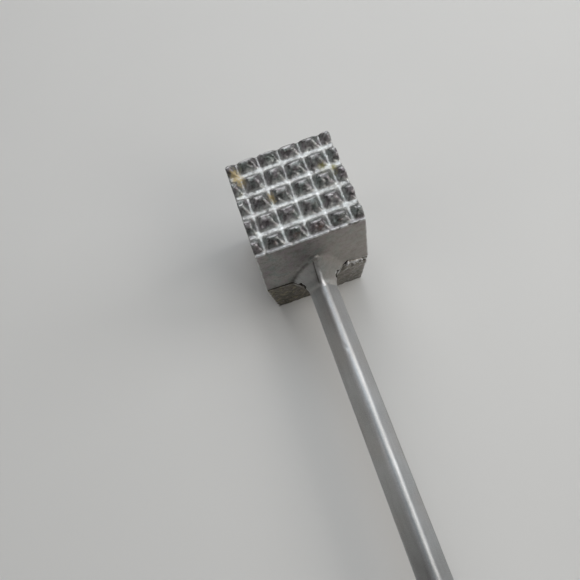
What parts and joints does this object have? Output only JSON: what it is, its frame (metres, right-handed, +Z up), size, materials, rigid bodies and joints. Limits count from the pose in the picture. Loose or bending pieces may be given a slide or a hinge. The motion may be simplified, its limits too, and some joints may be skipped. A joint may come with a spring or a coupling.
{
  "type": "meat mallet",
  "caption": "Cast aluminium meat mallet: a block head with a coarse toothed face above, a smooth face below, and a straight bar handle pinned into its flared boss.",
  "frame": {"origin": "centre of the head's smooth underside, which is the face that it stands on", "axes": "+Z up out of the toothed face, -Y along the handle towards its free end, +X across the head"},
  "size_m": [0.0472, 0.254, 0.0653],
  "materials": {
    "cast_aluminium": "dull grey sand-cast skin, bright where worn on the grooves, tooth tips and edges",
    "handle_aluminium": "smoothed and hand-worn to a soft satin sheen",
    "pin_steel": "darkened plain steel"
  },
  "bodies": {
    "root": {"head": "cast_aluminium", "handle": "handle_aluminium", "cross_pin": "pin_steel"}
  },
  "joints": []
}
